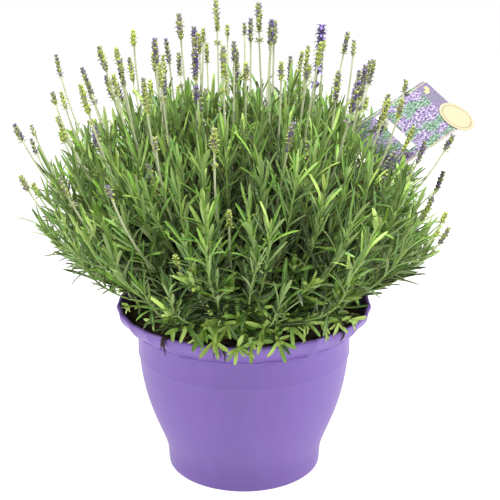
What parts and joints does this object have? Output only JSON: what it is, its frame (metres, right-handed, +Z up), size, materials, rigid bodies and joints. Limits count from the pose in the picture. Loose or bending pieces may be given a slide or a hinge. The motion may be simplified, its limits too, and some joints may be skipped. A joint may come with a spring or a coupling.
{
  "type": "potted lavender",
  "caption": "Bushy lavender plant with narrow leaves and budding flower spikes, in compost in a bell-shaped plastic pot with a flared rim, with a plant label on a stake.",
  "frame": {"origin": "middle of the pot's flat underside", "axes": "+Z up, along the pot's axis; -Y is the front; +X is the side that the plant label leans to"},
  "size_m": [0.4314, 0.4299, 0.4576],
  "materials": {
    "pot_plastic": "satin",
    "compost": "matte",
    "woody_stem": "matte",
    "leaf": "satin",
    "flower_stalk": "matte",
    "flower_spike": "matte",
    "label_print": "satin",
    "label_badge": "satin",
    "label_stake": "satin"
  },
  "bodies": {
    "root": {"compost": "compost", "flower_spike_01": "flower_spike", "flower_spike_02": "flower_spike", "flower_spike_03": "flower_spike", "flower_spike_04": "flower_spike", "flower_spike_05": "flower_spike", "flower_spike_06": "flower_spike", "flower_spike_07": "flower_spike", "flower_spike_08": "flower_spike", "flower_spike_09": "flower_spike", "flower_spike_10": "flower_spike", "flower_spike_11": "flower_spike", "flower_spike_12": "flower_spike", "flower_stalk_01": "flower_stalk", "flower_stalk_02": "flower_stalk", "flower_stalk_03": "flower_stalk", "flower_stalk_04": "flower_stalk", "flower_stalk_05": "flower_stalk", "flower_stalk_06": "flower_stalk", "flower_stalk_07": "flower_stalk", "flower_stalk_08": "flower_stalk", "flower_stalk_09": "flower_stalk", "flower_stalk_10": "flower_stalk", "flower_stalk_11": "flower_stalk", "flower_stalk_12": "flower_stalk", "label_badge": "label_badge", "label_card": "label_print", "label_stake": "label_stake", "leafy_shoot_01": "leaf", "leafy_shoot_02": "leaf", "leafy_shoot_03": "leaf", "leafy_shoot_04": "leaf", "leafy_shoot_05": "leaf", "leafy_shoot_06": "leaf", "leafy_shoot_07": "leaf", "leafy_shoot_08": "leaf", "leafy_shoot_09": "leaf", "leafy_shoot_10": "leaf", "leafy_shoot_11": "leaf", "leafy_shoot_12": "leaf", "leafy_shoot_13": "leaf", "leafy_shoot_14": "leaf", "leafy_shoot_15": "leaf", "leafy_shoot_16": "leaf", "leafy_shoot_17": "leaf", "leafy_shoot_18": "leaf", "leafy_shoot_19": "leaf", "leafy_shoot_20": "leaf", "leafy_shoot_21": "leaf", "leafy_shoot_22": "leaf", "leafy_shoot_23": "leaf", "leafy_shoot_24": "leaf", "leafy_shoot_25": "leaf", "leafy_shoot_26": "leaf", "leafy_shoot_27": "leaf", "leafy_shoot_28": "leaf", "pot": "pot_plastic", "woody_crown": "woody_stem"}
  },
  "joints": []
}
